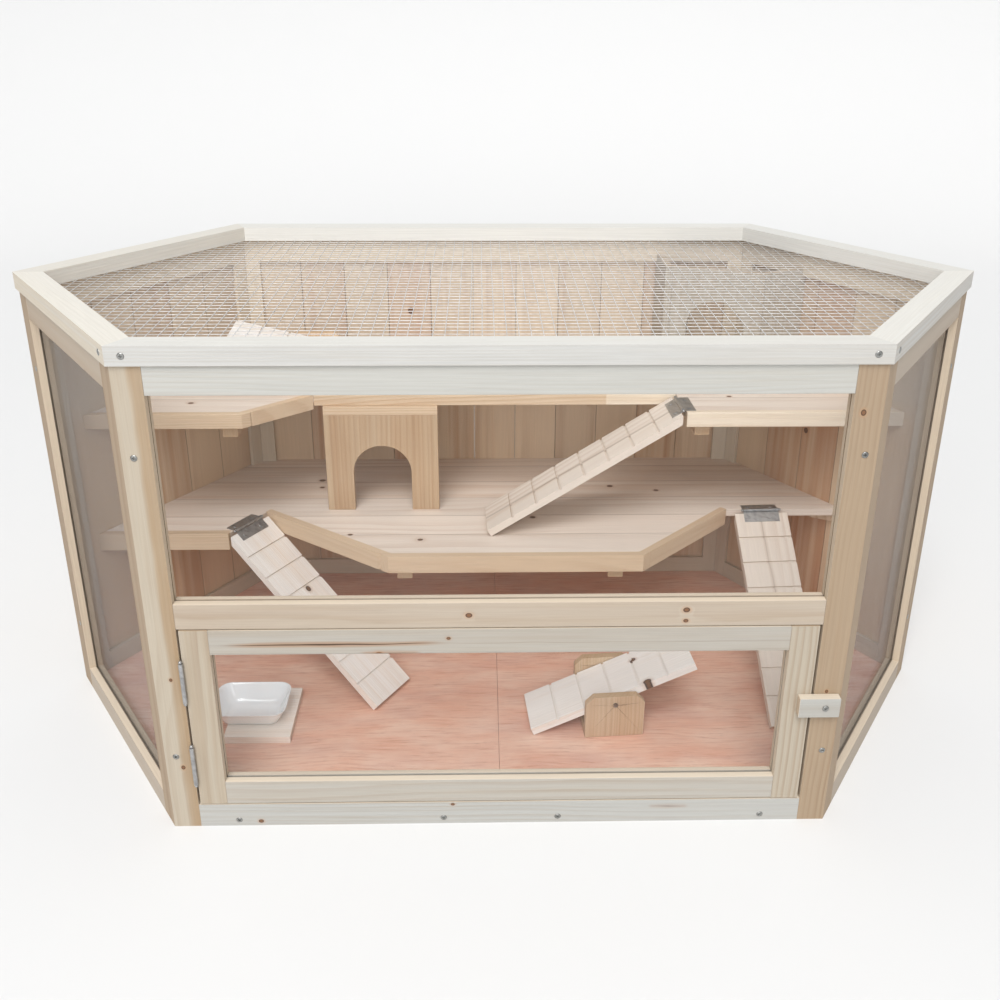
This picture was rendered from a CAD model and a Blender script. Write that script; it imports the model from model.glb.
# %% [markdown]
# # A wooden hamster cage with three levels
#
# The cage arrives as solid parts: frames, planks, shelves, ladders, seesaws, a door and a
# lid. Here every part gets its finish. Softwood is the main subject, because almost all of
# the cage is planed pine, and pine is told by its grain: long lines that bend round knots.
# Three parts are also rebuilt in finer detail: the wire mesh, the dish and the screw heads.

# %% Load the parts
import math
import random

import bmesh
import bpy
import numpy as np
from mathutils import Matrix, Vector


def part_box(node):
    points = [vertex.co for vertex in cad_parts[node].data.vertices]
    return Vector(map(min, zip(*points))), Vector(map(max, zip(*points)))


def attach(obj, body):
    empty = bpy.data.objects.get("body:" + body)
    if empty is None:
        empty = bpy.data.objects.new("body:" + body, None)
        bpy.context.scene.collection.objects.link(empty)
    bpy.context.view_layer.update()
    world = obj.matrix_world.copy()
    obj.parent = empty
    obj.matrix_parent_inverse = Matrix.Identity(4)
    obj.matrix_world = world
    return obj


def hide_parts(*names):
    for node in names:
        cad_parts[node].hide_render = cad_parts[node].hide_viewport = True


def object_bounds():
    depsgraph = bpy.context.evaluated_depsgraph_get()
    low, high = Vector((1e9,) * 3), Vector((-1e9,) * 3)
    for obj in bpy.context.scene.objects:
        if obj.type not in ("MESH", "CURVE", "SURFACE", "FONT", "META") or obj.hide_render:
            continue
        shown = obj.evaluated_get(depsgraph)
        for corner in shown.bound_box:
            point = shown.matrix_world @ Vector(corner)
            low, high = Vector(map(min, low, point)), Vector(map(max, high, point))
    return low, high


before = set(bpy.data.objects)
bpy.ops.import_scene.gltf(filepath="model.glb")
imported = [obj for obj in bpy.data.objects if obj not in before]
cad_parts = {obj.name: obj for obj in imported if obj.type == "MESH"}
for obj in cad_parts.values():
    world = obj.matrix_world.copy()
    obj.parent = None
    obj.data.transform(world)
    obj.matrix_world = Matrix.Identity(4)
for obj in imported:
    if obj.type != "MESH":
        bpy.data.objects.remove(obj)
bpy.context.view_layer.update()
mm = 0.001

# %% [markdown]
# ## The camera
#
# The camera looks down on the cage from the front at about 23 degrees. A lens slightly
# shorter than normal gives the strong narrowing of the side walls towards the ground. Its
# place is counted from the middle of the cage's front edge, so it follows the cage's size.

# %% Camera
cage_low, cage_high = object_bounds()
lid_top = cage_high.z

camera = bpy.data.objects.new("camera", bpy.data.cameras.new("camera"))
bpy.context.scene.collection.objects.link(camera)
bpy.context.scene.camera = camera
camera.data.sensor_width = 36.0
camera.data.lens = 38.38
camera.data.shift_x = -0.0038
camera.data.shift_y = -0.0495
in_front = 0.950
above_lid = 0.294
aside = -0.0195
camera.location = (aside, cage_low.y - in_front, lid_top + above_lid)
pitch = math.radians(67.303)
pan = math.radians(-1.265)
roll = math.radians(0.233)
turn = Matrix.Rotation(pan, 3, "Z") @ Matrix.Rotation(pitch, 3, "X") @ Matrix.Rotation(roll, 3, "Z")
camera.rotation_euler = turn.to_euler()
camera.data.clip_start = 0.02
print("camera at", [round(c, 3) for c in camera.location])

# %% [markdown]
# ## Light
#
# A pale room with light from above, as under a thin cloud: an even white sky, and a broad
# soft sun that stands high and a little to the front. Tops then look brighter than fronts.
# A large softbox at the front sends light in through the panes, or the rooms of the cage
# would be caves. The plain colour transform keeps white wood white.

# %% Light
scene = bpy.context.scene
scene.view_settings.view_transform = "Standard"
sky = bpy.data.worlds.new("sky")
sky.use_nodes = True
sky.node_tree.nodes["Background"].inputs["Color"].default_value = (0.96, 0.98, 1.0, 1.0)
sky.node_tree.nodes["Background"].inputs["Strength"].default_value = 0.56
scene.world = sky

sun = bpy.data.objects.new("high_sun", bpy.data.lights.new("high_sun", "SUN"))
scene.collection.objects.link(sun)
sun.data.energy = 2.15
sun.data.angle = math.radians(32)
sun.data.color = (1.0, 0.99, 0.975)
sun_from = Vector((-0.10, -0.68, 1.0))
sun.rotation_euler = sun_from.to_track_quat("Z", "Y").to_euler()

softbox = bpy.data.objects.new("front_softbox", bpy.data.lights.new("front_softbox", "AREA"))
scene.collection.objects.link(softbox)
softbox.data.shape = "SQUARE"
softbox.data.size = 2.6
softbox.data.energy = 58
softbox.location = (-0.5, -3.1, 1.9)
aim = Vector((0, 0, 0.2)) - softbox.location
softbox.rotation_euler = aim.to_track_quat("-Z", "Y").to_euler()
print("sun height:", round(90 - math.degrees(sun_from.angle(Vector((0, 0, 1))))), "degrees")

# %% [markdown]
# ## Shader maths written as Python
#
# A material is a graph of nodes. Long graphs are easier to read as formulas, so a small
# class holds one output of a node and turns Python's operators into Math nodes. Every other
# node comes from one method, `node`.

# %% Shader helpers
class Wire:
    """One value in a material, with maths."""

    def __init__(self, finish, socket):
        self.finish = finish
        self.socket = socket

    def maths(self, operation, first, second=None):
        values = [first] if second is None else [first, second]
        return self.finish.node("ShaderNodeMath", {"operation": operation}, values)

    def __add__(self, other):
        return self.maths("ADD", self, other)

    def __radd__(self, other):
        return self.maths("ADD", other, self)

    def __sub__(self, other):
        return self.maths("SUBTRACT", self, other)

    def __rsub__(self, other):
        return self.maths("SUBTRACT", other, self)

    def __mul__(self, other):
        return self.maths("MULTIPLY", self, other)

    def __rmul__(self, other):
        return self.maths("MULTIPLY", other, self)

    def __truediv__(self, other):
        return self.maths("DIVIDE", self, other)

    def __neg__(self):
        return self.maths("MULTIPLY", self, -1.0)

    def __pow__(self, other):
        return self.maths("POWER", self, other)

    def floor(self):
        return self.maths("FLOOR", self)

    def fract(self):
        return self.maths("FRACT", self)

    def size(self):
        return self.maths("ABSOLUTE", self)

    def exp(self):
        return self.maths("EXPONENT", self)

    def at_most(self, other):
        return self.maths("MINIMUM", self, other)

    def at_least(self, other):
        return self.maths("MAXIMUM", self, other)

    def step(self, low, high, to_low=0.0, to_high=1.0):
        """Eases from to_low to to_high as the value goes from low to high."""
        settings = {"interpolation_type": "SMOOTHSTEP"}
        return self.finish.node(
            "ShaderNodeMapRange", settings, [self, low, high, to_low, to_high]
        )


class Finish:
    """A material that is being built."""

    def __init__(self, name, **constants):
        self.material = bpy.data.materials.new(name)
        self.material.use_nodes = True
        self.tree = self.material.node_tree
        self.shader = self.tree.nodes["Principled BSDF"]
        for words, value in constants.items():
            self.shader.inputs[words.replace("_", " ")].default_value = value

    def node(self, kind, settings, sockets, out=0):
        made = self.tree.nodes.new(kind)
        for key, value in settings.items():
            setattr(made, key, value)
        places = enumerate(sockets) if isinstance(sockets, list) else sockets.items()
        for place, value in places:
            self.feed(made.inputs[place], value)
        return Wire(self, made.outputs[out])

    def feed(self, socket, value):
        if isinstance(value, Wire):
            self.tree.links.new(value.socket, socket)
        else:
            socket.default_value = value

    def place(self):
        """The point on the part, in metres."""
        return self.node("ShaderNodeTexCoord", {}, [], "Object")

    def dot(self, vector, other):
        """How far a vector reaches along another, which may be a fixed direction."""
        settings = {"operation": "DOT_PRODUCT"}
        other = other if isinstance(other, Wire) else tuple(other)
        return self.node("ShaderNodeVectorMath", settings, [vector, other], "Value")

    def point(self, x, y, z):
        return self.node("ShaderNodeCombineXYZ", {}, [x, y, z])

    def noise(self, point, scale=1.0, detail=2.0, roughness=0.5):
        sockets = {"Vector": point, "Scale": scale, "Detail": detail, "Roughness": roughness}
        return self.node("ShaderNodeTexNoise", {}, sockets, "Fac")

    def mix(self, factor, first, second, blend="MIX"):
        """A colour between two colours."""
        settings = {"data_type": "RGBA", "blend_type": blend}
        return self.node("ShaderNodeMix", settings, {0: factor, 6: first, 7: second}, 2)

    def bump(self, height, distance, strength=1.0):
        sockets = {"Height": height, "Distance": distance, "Strength": strength}
        self.use("Normal", self.node("ShaderNodeBump", {}, sockets, "Normal"))

    def use(self, socket, value):
        self.feed(self.shader.inputs[socket], value)


def shade(red, green, blue):
    """A paint-chart colour, 0 to 255 a channel, as the linear colour that shaders use."""
    linear = [c / 12.92 if c <= 0.04045 else ((c + 0.055) / 1.055) ** 2.4
              for c in (red / 255, green / 255, blue / 255)]
    return (*linear, 1.0)


# %% [markdown]
# ## Pine
#
# A board is a slice through a stack of thin cones, the year rings. So the material works
# out how far each point lies from the tree's middle line, the pith, and draws a ring every
# few millimetres: pale early wood that darkens slowly and stops short. Cut flat, the same
# rings become the long lines and tongues on a board's face, and arcs on its end. Each board
# of a group gets its own pith, so no two look alike. Heartwood near the pith is tan and
# the sapwood outside it nearly white.

# %% Rings
RING = 3.4 * mm
PITH_BEHIND = 18 * mm      # the nearest the pith lies behind a board's middle
PITH_SPREAD = 50 * mm      # how much further it may lie
PITH_WANDER = 50 * mm      # how far it strays sideways along a board
RING_WOBBLE = 3.2 * mm
GRAIN_DEPTH = 0.35 * mm


def late_wood_in(wood, radius, pitch, cell, seed):
    """One year: a slow rise from 0 to 1 in the dark late wood, then a sharp end."""
    widths = wood.noise(wood.point(radius * 90.0, cell, seed), 1.0, 1.0)
    year = (radius / pitch + widths * 2.4).fract()
    return year.step(0.30, 0.86) * (1.0 - year.step(0.88, 1.0))


print("rings per 100 mm:", round(100 * mm / RING))

# %% [markdown]
# ## Knots and cracks
#
# A knot is a branch cut through: a brown heart, a dark rim of bark, and a halo where the
# grain turns. It is drawn by the distance from its middle, shorter along the grain, which
# also pushes the rings outward. A crack is a thin dark line along the grain that tapers to
# both ends, in a wider brown stain.

# %% Knots and cracks
KNOT_RIM = shade(62, 44, 36)
KNOT_HEART = shade(128, 92, 66)
KNOT_HALO = shade(176, 130, 90)
KNOT_STRETCH = 0.80        # along the grain a knot is this much longer than across
KNOT_PUSH = 1.9            # how far the rings swell round it, in knot radii
CRACK_OPEN = 4 * mm
CRACK_WANDER = 10 * mm
CRACK_STAIN = 3.5 * mm
STAIN_COLOUR = shade(150, 108, 70)
CRACK_COLOUR = shade(58, 42, 32)


def paint_knots(wood, colour, spots):
    """The colour with knots, where spots are (distance from the middle, radius)."""
    for away, size in spots:
        colour = wood.mix(away.step(size * 2.2, size * 0.8) * 0.40, colour, KNOT_HALO)
        colour = wood.mix(away.step(size * 1.12, size * 0.9) * 0.92, colour, KNOT_RIM)
        colour = wood.mix(away.step(size * 0.85, size * 0.5) * 0.8, colour, KNOT_HEART)
    return colour


def paint_crack(wood, colour, du, dv, boldness, strength):
    """The colour with one crack: du is 1 at its ends, dv the distance from its line."""
    open_by = (1.0 - du).at_least(0.0) * (boldness - 0.25) * CRACK_OPEN
    stain = 1.0 - (dv.size() - open_by * 2.0).step(0.0, CRACK_STAIN)
    stain = stain * (1.0 - du).step(0.0, 0.3)
    colour = wood.mix(stain * (0.55 * strength), colour, STAIN_COLOUR)
    split_open = 1.0 - (dv.size() - open_by).step(-0.2 * mm, 0.3 * mm)
    return wood.mix(split_open * (0.9 * strength), colour, CRACK_COLOUR)


# %% [markdown]
# ## The whole board
#
# The board's own directions come first: u along the grain, v over the face and w through
# it. Rings, fibres, streaks and clouds are noise stretched along u. The colour is built in
# the order in which wood gets it: sapwood and heartwood, rings, light and weather, seams,
# knots, cracks, and last the sawn ends.

# %% Pine material
SEAM = 0.9 * mm            # half the gap that shows between two boards
SEAM_SOFT = 0.7 * mm
SEAM_COLOUR = shade(92, 66, 48)
SAWN_COLOUR = shade(178, 146, 108)
BLEACH_FROM, BLEACH_TO = 0.33, 0.41        # heights in the cage, in metres


def pine(name, along, across, depth, cells, knots=(), cracks=(), split=None,
         pale=(226, 212, 190), tan=(204, 172, 130), late=(176, 134, 88), heart=0.5, lines=0.6,
         seed=0.0, pitch=RING, bleach=None, vary=1.0, fresh=None, other=None):
    """Pine whose grain runs along a direction.

    across is the direction over the broad face and depth the one through it. cells is
    (start, width) of the boards side by side. knots are (point, radius) on the part, and
    cracks are (point, length, strength). split is (point, side): heartwood lies on that side
    of it. pale, tan and late are the sapwood, the heartwood and the dark lines; heart says
    how much is heartwood, and lines how dark the lines are. pitch is the ring width.
    bleach is the colour that the cage's inside fades to near its top, where light falls in,
    and vary says how much one board differs from the next. fresh is the colour of the faces
    that don't look outward: the outer ones have greyed. other is (x, side, colour, amount):
    the boards on that side of x were cut from a tree of that colour.
    """
    wood = Finish(name, Specular_IOR_Level=0.3)
    point = wood.place()
    u = wood.dot(point, along)
    v = wood.dot(point, across)
    w = wood.dot(point, depth)
    start, width = cells
    cell = ((v - start) / width).floor()
    draw = wood.node("ShaderNodeTexWhiteNoise", {"noise_dimensions": "1D"},
                     {"W": cell + seed}, "Color")
    first, second, third = (wood.node("ShaderNodeSeparateColor", {}, [draw], channel)
                            for channel in range(3))

    # the pith lies behind the board and wanders slowly along it
    wander = wood.noise(wood.point(u * 1.6 + cell * 7.3, v * 3.0 + seed, w * 3.0), 1.0, 2.0)
    local = v - start - (cell + 0.5) * width
    pith_v = local - (first - 0.5) * (width * 1.3) + (wander - 0.5) * PITH_WANDER
    pith_w = w - (second * PITH_SPREAD + PITH_BEHIND)
    radius = (pith_v * pith_v + pith_w * pith_w) ** 0.5
    wobble = wood.noise(wood.point(u * 5.0 + cell, v * 34.0, w * 34.0), 1.0, 3.0)
    radius = radius + (wobble - 0.5) * RING_WOBBLE

    # rings swell round a knot
    spots = []
    for knot, size in knots:
        ku, kv = (Vector(knot).dot(Vector(d)) for d in (along, across))
        du = (u - ku) * KNOT_STRETCH
        dv = v - kv
        away = (du * du + dv * dv) ** 0.5 + (wobble - 0.5) * (size * 0.6)
        spread = away / (size * KNOT_PUSH)
        radius = radius + (-(spread * spread)).exp() * (size * 0.9)
        spots.append((away, size))
    boldness = wood.noise(wood.point(u * 2.4 + seed, v * 14.0, w * 14.0), 1.0, 2.0)
    late_wood = late_wood_in(wood, radius, pitch, cell, seed)
    late_wood = late_wood * boldness.step(0.30, 0.75, 0.12, 1.0)

    fibre = wood.noise(wood.point(u * 14.0, v * 900.0, w * 900.0), 1.0, 3.0, 0.6)
    streak = wood.noise(wood.point(u * 1.8 + cell * 3.1, v * 110.0, w * 110.0 + seed), 1.0, 3.0)
    cloud = wood.noise(wood.point(u * 4.5 + cell * 1.7, v * 26.0, w * 26.0 + seed), 1.0, 3.0)

    if split:
        line = Vector(split[0]).dot(Vector(across))
        side_of = (v - line) * split[1] + (cloud - 0.5) * 0.014
        heart_wood = side_of.step(-3.5 * mm, 3.5 * mm)
    else:
        edge = (third - 0.5) * 0.05 + (heart - 0.5) * 0.07 + 0.03
        heart_wood = 1.0 - (radius - edge).step(-4 * mm, 6 * mm)
    tone = heart_wood * 0.7 + (third - 0.5) * (0.6 * vary) + (streak - 0.5) * (0.8 * vary)
    tone = tone + (cloud - 0.5) * 0.7
    colour = wood.mix(tone.at_least(0.0).at_most(1.0), shade(*pale), shade(*tan))
    colour = wood.mix(late_wood * lines, colour, shade(*late))

    facing = wood.node("ShaderNodeTexCoord", {}, [], "Normal")
    if other:
        x, side, tint, amount = other
        there = ((wood.dot(point, (1, 0, 0)) - x) * side).step(-mm, mm)
        amount = there * streak.step(0.3, 0.6, 0.6, 1.0) * amount
        colour = wood.mix(amount, colour, shade(*tint))
    if bleach:
        height = wood.dot(point, (0, 0, 1)) + (cloud - 0.5) * 0.05
        inside = wood.dot(facing, point).step(0.01, -0.01)
        amount = height.step(BLEACH_FROM, BLEACH_TO) * inside * 0.45
        colour = wood.mix(amount, colour, shade(*bleach))
    if fresh:
        flat = wood.node("ShaderNodeVectorMath", {"operation": "MULTIPLY"},
                         [point, (1.0, 1.0, 0.0)])
        sheltered = wood.dot(facing, flat).step(0.20, 0.10)
        colour = wood.mix(sheltered * 0.6, colour, shade(*fresh))
    board = 0.93 + first * 0.09
    soft = fibre.step(0.25, 0.75, 0.93, 1.03)
    colour = wood.mix(1.0, colour, wood.point(soft * board, soft * board, soft * board * 0.995),
                      "MULTIPLY")

    groove = (local.size() - (width / 2 - SEAM)).step(0.0, SEAM_SOFT)
    colour = wood.mix(groove * 0.45, colour, SEAM_COLOUR)
    colour = paint_knots(wood, colour, spots)
    for middle, length, strength in cracks:
        du = (u - Vector(middle).dot(Vector(along))).size() / (length / 2)
        dv = v - Vector(middle).dot(Vector(across)) + (wobble - 0.5) * CRACK_WANDER
        colour = paint_crack(wood, colour, du, dv, boldness, strength)

    # sawn ends drink in more dirt and look darker
    end = wood.dot(facing, along).size().step(0.6, 0.9)
    colour = wood.mix(end * 0.4, colour, SAWN_COLOUR)
    wood.use("Base Color", colour)
    wood.use("Roughness", fibre.step(0.2, 0.8, 0.52, 0.70))
    wood.bump(late_wood * 0.5 + fibre * 0.6 + streak * 0.5 - groove * 2.0, GRAIN_DEPTH, 0.6)
    return wood.material


# %% [markdown]
# ## Reading a board's directions from its own faces
#
# Grain runs the long way of every piece. Instead of listing that for each part, each loose
# solid in a part is found by walking over its shared corners, and its directions come from
# its faces: the direction that the least face area looks along is the grain, and the
# broadest faces look through the board.

# %% Loose solids and their directions
def solids(part):
    """The polygons of each loose solid in a part, as lists of indices."""
    mesh = part.data
    spot = {}
    first_at = [spot.setdefault(tuple(round(c, 5) for c in v.co), v.index)
                for v in mesh.vertices]
    parent = list(range(len(mesh.vertices)))

    def root(i):
        while parent[i] != i:
            parent[i] = parent[parent[i]]
            i = parent[i]
        return i

    for polygon in mesh.polygons:
        ring = [root(first_at[i]) for i in polygon.vertices]
        for other in ring[1:]:
            parent[root(other)] = root(ring[0])
    groups = {}
    for polygon in mesh.polygons:
        groups.setdefault(root(first_at[polygon.vertices[0]]), []).append(polygon.index)
    return sorted(groups.values(), key=lambda group: group[0])


def corners_of(part, group):
    """The corner points of some polygons of a part."""
    polygons = part.data.polygons
    return np.array([part.data.vertices[i].co for g in group for i in polygons[g].vertices])


def directions(part, group):
    """(along, across, depth) of the board that these polygons close."""
    spread = np.zeros((3, 3))
    for index in group:
        polygon = part.data.polygons[index]
        normal = np.array(polygon.normal)
        spread += polygon.area * np.outer(normal, normal)
    values, vectors = np.linalg.eigh(spread)
    along, across, depth = (Vector(vectors[:, i]) for i in range(3))
    if max(along, key=abs) < 0:
        along = -along
    if depth.y + 0.1 * depth.z + 0.01 * depth.x < 0:
        depth = -depth
    return along, depth.cross(along).normalized(), depth


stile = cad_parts["left_window_stiles"]
print("left window stiles:", len(solids(stile)), "solids, grain",
      [round(c, 2) for c in directions(stile, solids(stile)[0])[0]])

# %% [markdown]
# ## Edges
#
# A planed board never has knife edges. Each wooden part gets a small rounded edge from a
# Bevel modifier. The parts come with separate corners for each face, so a Weld joins them
# first, and Weighted Normal keeps the broad faces flat in the light.

# %% Rounded edges
EDGE = 0.9 * mm
SAME_CORNER = 0.01 * mm
BOARDS_APART = 20 * mm     # boards whose middles are closer than this share a cell
LONE_BOARD = 400 * mm      # cell width where no boards lie side by side


def soften(part, width=EDGE, segments=2):
    """Rounds the edges of a part and smooths its curved faces."""
    if "custom_normal" in part.data.attributes:
        part.data.attributes.remove(part.data.attributes["custom_normal"])
    for polygon in part.data.polygons:
        polygon.use_smooth = True
    weld = part.modifiers.new("join_corners", "WELD")
    weld.merge_threshold = SAME_CORNER
    bevel = part.modifiers.new("rounded_edges", "BEVEL")
    bevel.width = width
    bevel.segments = segments
    bevel.limit_method = "ANGLE"
    bevel.angle_limit = math.radians(35)
    bevel.use_clamp_overlap = True
    normals = part.modifiers.new("flat_faces", "WEIGHTED_NORMAL")
    normals.keep_sharp = False
    normals.weight = 80


def finish_boards(name, along=None, **looks):
    """Gives each loose solid of a part pine whose grain follows it.

    Parallel solids share one material, with a cell for each of them.
    """
    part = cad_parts[name]
    part.data.materials.clear()
    groups = {}
    for group in solids(part):
        a, c, d = directions(part, group)
        if along is not None:
            a = Vector(along)
            d = (d - a * d.dot(a)).normalized()
            c = d.cross(a).normalized()
        key = tuple(round(x, 1) + 0.0 for x in (*a, *d))
        groups.setdefault(key, []).append((group, a, c, d))
    for number, members in enumerate(groups.values()):
        _, a, c, d = members[0]
        reach = [corners_of(part, g) @ np.array(c) for g, *_ in members]
        middles = sorted((r.min() + r.max()) / 2 for r in reach)
        gaps = [q - p for p, q in zip(middles, middles[1:]) if q - p > BOARDS_APART]
        width = min(gaps) if gaps else LONE_BOARD
        start = middles[0] - width / 2
        seed = sum(ord(letter) for letter in name) * 0.37 + number * 11.0
        made = pine(f"{name}_pine_{number}", a, c, d, (start, width), seed=seed, **looks)
        part.data.materials.append(made)
        for group, *_ in members:
            for index in group:
                part.data.polygons[index].material_index = number
    soften(part)
    print(name, "solids", sum(len(m) for m in groups.values()), "finishes", len(groups))


# %% [markdown]
# ## The frame bars
#
# The rails are nearly white sapwood. The stiles show the heartwood, in one half or all over.
# Outer faces have greyed, and the faces that look inward are still fresh. Knots and cracks
# are placed as shares of the part's own box.

# %% Frame bars
FRESH = (230, 214, 192)
RAIL = {"pale": (184, 183, 178), "tan": (173, 161, 142), "late": (160, 141, 118),
        "heart": 0.2, "lines": 0.30, "fresh": FRESH}
LOW_RAIL = {"pale": (171, 170, 166), "tan": (160, 149, 132), "late": (146, 128, 107),
            "heart": 0.2, "lines": 0.30, "fresh": FRESH}
WARM_RAIL = {"pale": (177, 164, 149), "tan": (164, 143, 119), "late": (142, 114, 86),
             "heart": 0.4, "lines": 0.34, "fresh": FRESH}
DOOR_RAIL = {"pale": (170, 165, 157), "tan": (163, 147, 126), "late": (142, 120, 96),
             "heart": 0.3, "lines": 0.3, "fresh": FRESH}
STILE = {"pale": (175, 164, 148), "tan": (153, 127, 96), "late": (132, 101, 70),
         "heart": 0.5, "lines": 0.32, "fresh": FRESH}
DARK_STILE = {"pale": (163, 143, 120), "tan": (144, 113, 82), "late": (122, 90, 61),
              "heart": 0.7, "lines": 0.36, "fresh": FRESH}


def on_part(name, x=0.5, y=0.5, z=0.5):
    """A point in a part's box, each way as a share from its low side to its high side."""
    low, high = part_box(name)
    return [low[i] + (high[i] - low[i]) * share for i, share in enumerate((x, y, z))]


finish_boards("front_top_rail", **RAIL)
finish_boards("front_middle_rail", **WARM_RAIL,
              knots=[(on_part("front_middle_rail", 0.45, 0, 0.5), 2.6 * mm),
                     (on_part("front_middle_rail", 0.785, 0, 0.66), 3.0 * mm),
                     (on_part("front_middle_rail", 0.785, 0, 0.22), 2.2 * mm)])
finish_boards("front_bottom_rail", **LOW_RAIL,
              knots=[(on_part("front_bottom_rail", 0.1, 0, 0.2), 2.2 * mm),
                     (on_part("front_bottom_rail", 0.42, 0, 0.9), 1.8 * mm)],
              cracks=[(on_part("front_bottom_rail", 0.78, 0, 0.72), 0.05, 0.4)])
finish_boards("front_left_stile", **STILE, split=(on_part("front_left_stile", 0.52), 1),
              knots=[(on_part("front_left_stile", 0.62, 0, 0.15), 2.2 * mm),
                     (on_part("front_left_stile", 0.6, 0, 0.36), 1.8 * mm)])
finish_boards("front_right_stile", **DARK_STILE,
              knots=[(on_part("front_right_stile", 0.35, 0, 0.91), 2.6 * mm),
                     (on_part("front_right_stile", 0.45, 0, 0.32), 1.6 * mm)])
for side in ("left", "right"):
    finish_boards(f"{side}_window_stiles", **DARK_STILE)
    finish_boards(f"{side}_window_rails", **WARM_RAIL)
    finish_boards(f"rear_{side}_frame", **STILE)
finish_boards("back_frame", **STILE)
finish_boards("door_stiles", **STILE)
finish_boards("door_rails", **DOOR_RAIL,
              knots=[(on_part("door_rails", 0.29, 0, 0.865), 3.0 * mm),
                     (on_part("door_rails", 0.41, 0, 0.95), 1.8 * mm)],
              cracks=[(on_part("door_rails", 0.215, 0, 0.922), 0.25, 1.0),
                      (on_part("door_rails", 0.31, 0, 0.875), 0.07, 0.8)])
finish_boards("turn_button", **LOW_RAIL)

# %% [markdown]
# ## Planks, shelves and small boards
#
# The walls are rough planks, much warmer in tone, each plank different from the next. The
# shelves are planed and pale with a few dark knots. Edging strips are warmer again.

# %% Planks, shelves and small boards
PLANK = {"pale": (216, 190, 160), "tan": (178, 120, 80), "late": (146, 94, 60),
         "heart": 0.55, "lines": 0.34, "pitch": 5.0 * mm, "vary": 1.8,
         "bleach": (188, 183, 174)}
SHELF = {"pale": (232, 219, 207), "tan": (210, 180, 155), "late": (182, 142, 111),
         "heart": 0.35, "lines": 0.30}
STRIP = {"pale": (214, 190, 162), "tan": (194, 152, 113), "late": (166, 121, 82),
         "heart": 0.5, "lines": 0.36}
ARCH = {"pale": (188, 164, 136), "tan": (167, 126, 88), "late": (145, 100, 62),
        "heart": 0.5, "lines": 0.5, "pitch": 7.0 * mm}
HOUSE = {"pale": (178, 170, 158), "tan": (160, 138, 114), "late": (150, 122, 94),
         "heart": 0.4, "lines": 0.3}
LADDER = {"pale": (252, 248, 244), "tan": (238, 218, 196), "late": (208, 172, 138),
          "heart": 0.3, "lines": 0.26}
WARM_LADDER = {"pale": (228, 216, 204), "tan": (208, 180, 152), "late": (178, 138, 104),
               "heart": 0.35, "lines": 0.3}


for name in ("rear_left_planks", "rear_right_planks", "back_planks"):
    finish_boards(name, **PLANK,
                  knots=[(on_part(name, 0.32, 0.32, 0.84), 4.0 * mm),
                         (on_part(name, 0.71, 0.71, 0.55), 3.4 * mm),
                         (on_part(name, 0.14, 0.14, 0.35), 3.6 * mm)])
finish_boards("middle_shelf_boards", along=(1, 0, 0), **SHELF,
              knots=[(on_part("middle_shelf_boards", 0.265, 0.74, 1), 3.6 * mm),
                     (on_part("middle_shelf_boards", 0.268, 0.66, 1), 2.8 * mm),
                     (on_part("middle_shelf_boards", 0.628, 0.74, 1), 2.8 * mm),
                     (on_part("middle_shelf_boards", 0.685, 0.66, 1), 3.4 * mm),
                     (on_part("middle_shelf_boards", 0.75, 0.61, 1), 2.6 * mm),
                     (on_part("middle_shelf_boards", 0.568, 0.33, 1), 3.0 * mm),
                     (on_part("middle_shelf_boards", 0.566, 0.40, 1), 2.2 * mm),
                     (on_part("middle_shelf_boards", 0.418, 0.12, 1), 3.0 * mm),
                     (on_part("middle_shelf_boards", 0.325, 0.17, 1), 2.6 * mm)])
finish_boards("top_shelf_boards", along=(1, 0, 0), **SHELF,
              knots=[(on_part("top_shelf_boards", 0.115, 0.14, 1), 3.0 * mm),
                     (on_part("top_shelf_boards", 0.85, 0.30, 1), 3.4 * mm),
                     (on_part("top_shelf_boards", 0.80, 0.22, 1), 2.6 * mm)])
for name in ("middle_shelf_edging", "middle_shelf_cleats", "top_shelf_cleats", "arch_batten"):
    finish_boards(name, **STRIP)
finish_boards("top_shelf_edging", **STRIP, other=(0.15, 1, (240, 228, 210), 0.75))
finish_boards("arch_board", along=(0, 0, 1), **ARCH)
finish_boards("corner_house_front", along=(0, 0, 1), **HOUSE)
finish_boards("corner_house_sides", along=(0, 0, 1), **HOUSE)
finish_boards("bowl_block", along=(1, 0, 0), **LADDER)

# %% [markdown]
# ## Ladders, seesaws and lid
#
# Ladders and seesaw boards are the palest strips. Two ladders are a little warmer and show
# a brown line down the middle. The lid's bars are clean sapwood, and those on the left come
# from a browner tree.

# %% Ladders, seesaws and lid
LID = {"pale": (190, 189, 186), "tan": (182, 171, 155), "late": (166, 149, 128),
       "heart": 0.2, "lines": 0.3, "fresh": (232, 230, 224)}
finish_boards("left_ladder", **LADDER,
              knots=[(on_part("left_ladder", 0.42, 0.60, 0.62), 3.4 * mm)])
finish_boards("right_ladder", **WARM_LADDER, cracks=[(on_part("right_ladder"), 0.5, 0.4)])
finish_boards("upper_ladder", **WARM_LADDER, cracks=[(on_part("upper_ladder"), 0.5, 0.4)])
finish_boards("lower_seesaw_board", **LADDER,
              knots=[(on_part("lower_seesaw_board", 0.60, 0.72, 1), 3.2 * mm),
                     (on_part("lower_seesaw_board", 0.66, 0.14, 1), 4.2 * mm)])
finish_boards("upper_seesaw_board", **LADDER)
finish_boards("lower_seesaw_stand", along=(0, 0, 1), **STRIP)
finish_boards("upper_seesaw_stand", along=(0, 0, 1), **STRIP)
finish_boards("lid_front_bar", **LID)
finish_boards("lid_back_bar", **LID)
finish_boards("lid_side_bars", **LID, other=(0.0, -1, (206, 190, 164), 0.55))

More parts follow.
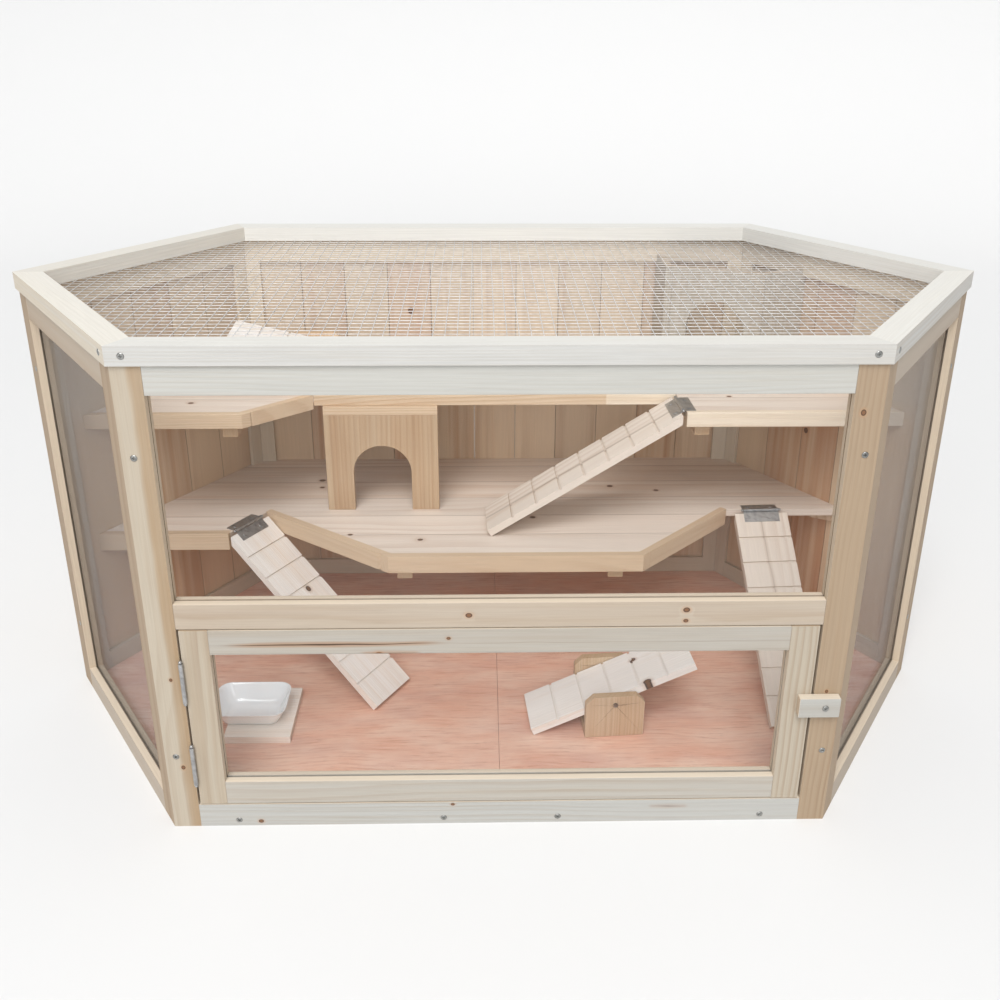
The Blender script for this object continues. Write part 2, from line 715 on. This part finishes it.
# %% [markdown]
# ## The plywood floor
#
# The face of this plywood is a reddish peeled veneer: no rings, but long soft streaks and
# short dark pores that all run the same way, on a pink-brown ground.

# %% Plywood
def plywood(name):
    ply = Finish(name, Specular_IOR_Level=0.4)
    point = ply.place()
    x = ply.dot(point, (1, 0, 0))
    y = ply.dot(point, (0, 1, 0))
    cloud = ply.noise(ply.point(x * 9.0, y * 26.0, 0.0), 1.0, 5.0, 0.6)
    patch = ply.noise(ply.point(x * 5.0, y * 14.0, 7.0), 1.0, 4.0, 0.6)
    slant = y + (ply.noise(ply.point(x * 3.0, y * 5.0, 3.0), 1.0, 2.0) - 0.5) * 0.05
    streak = ply.noise(ply.point(x * 20.0, slant * 260.0, 1.0), 1.0, 6.0, 0.7)
    pores = ply.noise(ply.point(x * 90.0, slant * 1300.0, 2.0), 1.0, 2.0)
    colour = ply.mix(cloud.step(0.3, 0.7), shade(233, 182, 158), shade(240, 206, 186))
    colour = ply.mix(patch.step(0.45, 0.7) * 0.45, colour, shade(206, 158, 146))
    colour = ply.mix(streak.step(0.48, 0.72) * 0.55, colour, shade(198, 132, 108))
    colour = ply.mix(streak.step(0.45, 0.28) * 0.5, colour, shade(246, 218, 198))
    colour = ply.mix(pores.step(0.60, 0.72) * streak.step(0.4, 0.6) * 0.5, colour,
                     shade(138, 84, 70))
    ply.use("Base Color", colour)
    ply.use("Roughness", streak.step(0.2, 0.8, 0.45, 0.62))
    ply.bump(pores * -0.6 + streak * 0.5, 0.0003, 0.5)
    return ply.material


def one_finish(names, material, bevel=None):
    """One material for whole parts, and rounded edges if a width is given."""
    for name in names:
        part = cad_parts[name]
        part.data.materials.clear()
        part.data.materials.append(material)
        if bevel:
            soften(part, bevel)
    print(material.name, "on", len(names), "parts")


one_finish(["floor_panels"], plywood("floor_plywood"), 0.5 * mm)

# %% [markdown]
# ## Clear panes
#
# The windows are thin acrylic sheet, new but already scuffed: almost invisible from the
# front, with a faint milky haze and fine scratches. A transparent shader carries the view
# through, and a glossy one is mixed in more strongly towards grazing angles. The side panes
# let a little less light through than the front ones.

# %% Panes
def acrylic(name, clearness):
    pane = Finish(name, Base_Color=shade(206, 206, 204), Roughness=0.35, IOR=1.49)
    point = pane.place()
    x = pane.dot(point, (0.8, 0.6, 0.0))
    z = pane.dot(point, (0.0, 0.0, 1.0))
    smear = pane.noise(pane.point(x * 9.0, z * 5.0, 0.0), 1.0, 4.0, 0.6)
    lean = z + x * 0.35
    scratch = pane.noise(pane.point(x * 60.0 + z * 30.0, lean * 900.0, 2.0), 1.0, 2.0)
    rubbed = pane.noise(pane.point(x * 14.0, z * 10.0, 5.0), 1.0, 3.0)
    haze = smear.step(0.35, 0.8, 0.002, 0.026)
    haze = haze + scratch.step(0.66, 0.74) * rubbed.step(0.45, 0.7) * 0.05
    sheen = pane.node("ShaderNodeFresnel", {}, {"IOR": 1.49})
    clear = pane.node("ShaderNodeBsdfTransparent", {}, {"Color": shade(*clearness)})
    gloss = pane.node("ShaderNodeBsdfGlossy", {}, {"Color": shade(200, 204, 206),
                                                   "Roughness": 0.06})
    sheet = pane.node("ShaderNodeMixShader", {}, [sheen * 0.20, clear, gloss])
    both = pane.node("ShaderNodeMixShader", {},
                     [haze, sheet, Wire(pane, pane.shader.outputs[0])])
    pane.feed(pane.tree.nodes["Material Output"].inputs["Surface"], both)
    return pane.material


one_finish(["front_pane", "door_pane"], acrylic("scuffed_acrylic", (255, 255, 255)))
one_finish(["left_window_pane", "right_window_pane"],
           acrylic("older_acrylic", (239, 239, 240)))

# %% [markdown]
# ## Steel
#
# The butt hinges are plated steel with a fine brushed grain. The screws are zinc plated:
# greyer, with cloudy patches.

# %% Steel
def steel(name, base, rough, grain, metal=1.0):
    plate = Finish(name, Metallic=metal)
    point = plate.place()
    x = plate.dot(point, grain)
    y = plate.dot(point, (0.31, 0.52, 0.80))
    lines = plate.noise(plate.point(x * 30.0, y * 2600.0, 0.0), 1.0, 2.0)
    cloud = plate.noise(plate.point(x * 160.0, y * 160.0, 4.0), 1.0, 3.0)
    dull = plate.mix(cloud.step(0.35, 0.75) * 0.6, shade(*base), shade(*(c * 0.72 for c in base)))
    plate.use("Base Color", dull)
    plate.use("Roughness", lines.step(0.2, 0.8, rough - 0.08, rough + 0.12))
    plate.bump(lines, 0.00004, 0.5)
    return plate.material


hinge_steel = steel("hinge_steel", (180, 180, 180), 0.33, (1, 0.2, 0.1), 0.85)
screw_zinc = steel("screw_zinc", (160, 160, 157), 0.36, (0.3, 1, 0.5))
mesh_zinc = steel("mesh_zinc", (226, 226, 226), 0.45, (0.7, 0.7, 0.1), 0.25)
one_finish([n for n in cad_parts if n.endswith(("_leaf", "_leaves"))], hinge_steel)
one_finish([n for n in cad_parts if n.endswith("_pins")], screw_zinc)


def link_mesh(name, points, faces, material, smooth=True):
    """A new object from points and faces."""
    mesh = bpy.data.meshes.new(name)
    mesh.from_pydata([tuple(p) for p in points], [], faces)
    mesh.validate()
    mesh.materials.append(material)
    mesh.polygons.foreach_set("use_smooth", [smooth] * len(mesh.polygons))
    made = bpy.data.objects.new(name, mesh)
    scene.collection.objects.link(made)
    return made


# %% [markdown]
# ## The lid's wire mesh
#
# Welded wire mesh is two layers of straight wires, one laid on the other. Each wire is cut
# where it meets the six-sided outline, so the outline is read from the flat sheet that the
# mesh stands for. The wires bow by a fraction of a millimetre, which breaks up the pattern.

# %% Wire mesh
WIRE_GAP = 12.7 * mm
WIRE_R = 0.42 * mm
WIRE_STEP = 90 * mm        # a wire bends a little this often
BEND_UP = 0.25 * mm
BEND_ASIDE = 0.35 * mm
rng = random.Random(5)
sheet_low, sheet_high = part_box("lid_mesh")
outline = sorted({(round(v.co.x, 5), round(v.co.y, 5))
                  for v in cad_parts["lid_mesh"].data.vertices},
                 key=lambda p: math.atan2(p[1], p[0]))


def chord(axis, value):
    """Where a straight line at this value of one axis enters and leaves the outline."""
    hits = []
    for p, q in zip(outline, outline[1:] + outline[:1]):
        low, high = sorted((p[axis], q[axis]))
        if low <= value <= high and high > low:
            share = (value - p[axis]) / (q[axis] - p[axis])
            hits.append(p[1 - axis] + share * (q[1 - axis] - p[1 - axis]))
    return min(hits), max(hits)


def tube(path, radius, sides=6):
    """Points and faces of a closed tube along a path that runs mostly one way."""
    forward = (path[-1] - path[0]).normalized()
    right = forward.cross(Vector((0, 0, 1))).normalized()
    ring = [right * math.cos(a) * radius + Vector((0, 0, math.sin(a) * radius))
            for a in (2 * math.pi * i / sides for i in range(sides))]
    points = [p + r for p in path for r in ring]
    faces = [(i * sides + j, i * sides + (j + 1) % sides,
              (i + 1) * sides + (j + 1) % sides, (i + 1) * sides + j)
             for i in range(len(path) - 1) for j in range(sides)]
    faces.append(tuple(range(sides))[::-1])
    faces.append(tuple(range(len(points) - sides, len(points))))
    return points, faces


def wires(axis, z):
    """All wires that cross one axis at even steps."""
    low, high = (sheet_low[axis], sheet_high[axis])
    count = int((high - low) / WIRE_GAP)
    first = (low + high - (count - 1) * WIRE_GAP) / 2
    for i in range(count):
        value = first + i * WIRE_GAP
        start, end = chord(axis, value)
        steps = max(2, int((end - start) / WIRE_STEP))
        path = []
        for k in range(steps + 1):
            place = [0, 0, z + rng.uniform(-1, 1) * BEND_UP]
            place[axis] = value + rng.uniform(-1, 1) * BEND_ASIDE
            place[1 - axis] = start + (end - start) * k / steps
            path.append(Vector(place))
        yield tube(path, WIRE_R)


mesh_points = []
mesh_faces = []
for axis, z in ((1, sheet_low.z + WIRE_R), (0, sheet_low.z + 2.9 * WIRE_R)):
    for points, faces in wires(axis, z):
        base = len(mesh_points)
        mesh_points += points
        mesh_faces += [tuple(base + i for i in face) for face in faces]
lid_wires = link_mesh("lid_wire_mesh", mesh_points, mesh_faces, mesh_zinc)
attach(lid_wires, "lid")
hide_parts("lid_mesh")
print("mesh wires:", len(mesh_faces), "faces")

# %% [markdown]
# ## Screw heads
#
# A plain disc gives a screw away at once. Each visible screw gets a pan head with a cross
# recess. The places come from the plain screws: each one's axis is its long way, and its
# head is the end where it is widest.

# %% Screw heads
def screw_spots(name):
    """(outer middle of the head, outward direction, head radius) of each screw."""
    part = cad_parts[name]
    for group in solids(part):
        points = np.unique(np.round(corners_of(part, group), 6), axis=0)
        along, *_ = directions(part, group)
        axis = np.array(along)
        middle = points[np.abs(points @ axis - (points @ axis).max()) < 1e-5].mean(0)
        reach = (points - middle) @ axis
        off = np.linalg.norm(points - middle - np.outer(reach, axis), axis=1)
        wide = reach[off > off.max() * 0.95]
        sign = 1 if wide.mean() > reach.mean() else -1
        tip = reach.max() if sign > 0 else reach.min()
        yield Vector(middle + axis * tip), Vector(axis * sign), float(off.max())


def cross_head(radius):
    """A pan head, looking along +Z, whose top is at z = 0, with a cross recess."""
    bm = bmesh.new()
    sides = 24
    profile = [(1.0, -0.36), (1.0, -0.26), (0.93, -0.12), (0.78, -0.02), (0.62, 0.0)]
    rings = [[bm.verts.new((radius * r * math.cos(2 * math.pi * i / sides),
                            radius * r * math.sin(2 * math.pi * i / sides), radius * z))
              for i in range(sides)] for r, z in profile]
    for low, high in zip(rings, rings[1:]):
        for i in range(sides):
            bm.faces.new((low[i], low[(i + 1) % sides], high[(i + 1) % sides], high[i]))
    arm, half = 0.50 * radius, 0.11 * radius
    shape = []
    for k in range(4):
        turn_by = Matrix.Rotation(k * math.pi / 2, 3, "Z")
        for x, y in ((half, -half), (arm, -half), (arm, half)):
            shape.append(turn_by @ Vector((x, y, 0)))
    top = [bm.verts.new(p) for p in shape]
    floor = [bm.verts.new(Vector((p.x * 0.62, p.y * 0.62, -0.30 * radius))) for p in shape]
    loop = [bm.edges.new((top[i], top[(i + 1) % 12])) for i in range(12)]
    inner = rings[-1]
    loop += [bm.edges.get((inner[i], inner[(i + 1) % sides])) for i in range(sides)]
    bmesh.ops.triangle_fill(bm, use_beauty=True, use_dissolve=False, edges=loop)
    for i in range(12):
        bm.faces.new((top[i], top[(i + 1) % 12], floor[(i + 1) % 12], floor[i]))
    bm.faces.new(floor)
    bm.faces.new([rings[0][i] for i in reversed(range(sides))])
    bmesh.ops.recalc_face_normals(bm, faces=bm.faces)
    points = [v.co.copy() for v in bm.verts]
    bm.verts.index_update()
    faces = [tuple(v.index for v in f.verts) for f in bm.faces]
    bm.free()
    return points, faces


def screw_heads(node, piece, body):
    points, faces = [], []
    for place, outward, radius in screw_spots(node):
        head_points, head_faces = cross_head(radius)
        spin = Matrix.Rotation(rng.uniform(0, math.pi / 2), 3, "Z")
        stand = outward.to_track_quat("Z", "Y").to_matrix() @ spin
        base = len(points)
        points += [place + stand @ p for p in head_points]
        faces += [tuple(base + i for i in face) for face in head_faces]
    made = link_mesh(piece, points, faces, screw_zinc, smooth=False)
    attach(made, body)
    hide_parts(node)
    print(piece, len(points), "points")


screw_heads("frame_screws", "frame_screw_heads", "cage")
screw_heads("lid_screws", "lid_screw_heads", "lid")

# %% [markdown]
# ## The dish
#
# A glazed dish with rounded corners and flared walls. A lathe can't make it, because its
# outline is a rounded rectangle, so rings of that outline are stacked like a lathe's
# profile: up the outside, over the rim, and down into the bowl. A subdivision surface
# rounds it all, and the glaze is a clear coat on white clay.

# %% Dish
def rounded_ring(half_x, half_y, corner, z, around=10):
    """A rounded rectangle of points at height z."""
    points = []
    for k, (sx, sy) in enumerate(((1, 1), (-1, 1), (-1, -1), (1, -1))):
        for i in range(around):
            angle = math.pi / 2 * (k + i / (around - 1))
            points.append(Vector((sx * (half_x - corner) + corner * math.cos(angle),
                                  sy * (half_y - corner) + corner * math.sin(angle), z)))
    return points


def glaze(name):
    clay = Finish(name, Coat_Weight=1.0, Coat_Roughness=0.04)
    point = clay.place()
    pool = clay.noise(point, 60.0, 3.0)
    clay.use("Base Color", clay.mix(pool.step(0.3, 0.7), shade(250, 253, 255),
                                    shade(253, 254, 255)))
    clay.use("Roughness", pool.step(0.3, 0.7, 0.12, 0.22))
    clay.bump(pool, 0.0004, 0.25)
    return clay.material


bowl_low, bowl_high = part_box("bowl")
middle = (bowl_low + bowl_high) / 2
half_x = (bowl_high.x - bowl_low.x) / 2
half_y = (bowl_high.y - bowl_low.y) / 2
tall = bowl_high.z - bowl_low.z
# share of the half width, share of the half depth, share of the height, corner radius in mm
dish_profile = [
    (0.62, 0.50, 0.03, 8), (0.68, 0.56, 0.00, 9), (0.72, 0.60, 0.03, 10),
    (0.78, 0.69, 0.22, 12), (0.88, 0.83, 0.58, 14.5), (0.955, 0.945, 0.88, 16.5),
    (0.995, 0.993, 0.965, 17.5), (0.99, 0.988, 1.00, 17), (0.965, 0.955, 0.995, 16),
    (0.93, 0.915, 0.93, 15), (0.85, 0.80, 0.62, 13.5), (0.74, 0.66, 0.28, 12),
    (0.66, 0.56, 0.15, 10), (0.50, 0.40, 0.125, 8), (0.20, 0.15, 0.12, 4),
]
rings = [rounded_ring(half_x * sx, half_y * sy, r * mm, bowl_low.z + tall * sz)
         for sx, sy, sz, r in dish_profile]
per_ring = len(rings[0])
dish_points = [p + Vector((middle.x, middle.y, 0)) for ring in rings for p in ring]
dish_faces = [(i * per_ring + j, i * per_ring + (j + 1) % per_ring,
               (i + 1) * per_ring + (j + 1) % per_ring, (i + 1) * per_ring + j)
              for i in range(len(rings) - 1) for j in range(per_ring)]
dish_faces.append(tuple(reversed(range(per_ring))))
dish_faces.append(tuple(range(len(dish_points) - per_ring, len(dish_points))))
dish = link_mesh("dish", dish_points, dish_faces, glaze("white_glaze"))
subdivide = dish.modifiers.new("smooth_clay", "SUBSURF")
subdivide.levels = 1
subdivide.render_levels = 2
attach(dish, "bowl")
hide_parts("bowl")
print("dish rings:", len(rings))

# %% [markdown]
# ## The pale floor
#
# A sheet of pale paper that is not part of the cage. It lies flat under the cage and curves
# up all round like a shallow dish, so that no horizon line shows from any side.

# %% Pale floor
paper = Finish("pale_paper", Roughness=0.9, Base_Color=(0.71, 0.71, 0.71, 1.0))
flat, bend, around = 3.0, 2.0, 64
steepest, steps = math.radians(70), 16
profile = [(flat, 0.0)]
for i in range(1, steps + 1):
    angle = steepest * i / steps
    profile.append((flat + bend * math.sin(angle), bend * (1 - math.cos(angle))))
profile.append((profile[-1][0] + 0.5, profile[-1][1] + 1.4))
turns = [2 * math.pi * k / around for k in range(around)]
paper_points = [(r * math.cos(a), r * math.sin(a), z) for r, z in profile for a in turns]
paper_faces = [(i * around + (k + 1) % around, i * around + k,
                (i + 1) * around + k, (i + 1) * around + (k + 1) % around)
               for i in range(len(profile) - 1) for k in range(around)]
paper_faces.append(tuple(range(around)))
backdrop = link_mesh("pale_floor", paper_points, paper_faces, paper.material)
print("paper rises to", round(profile[-1][1], 2), "m")
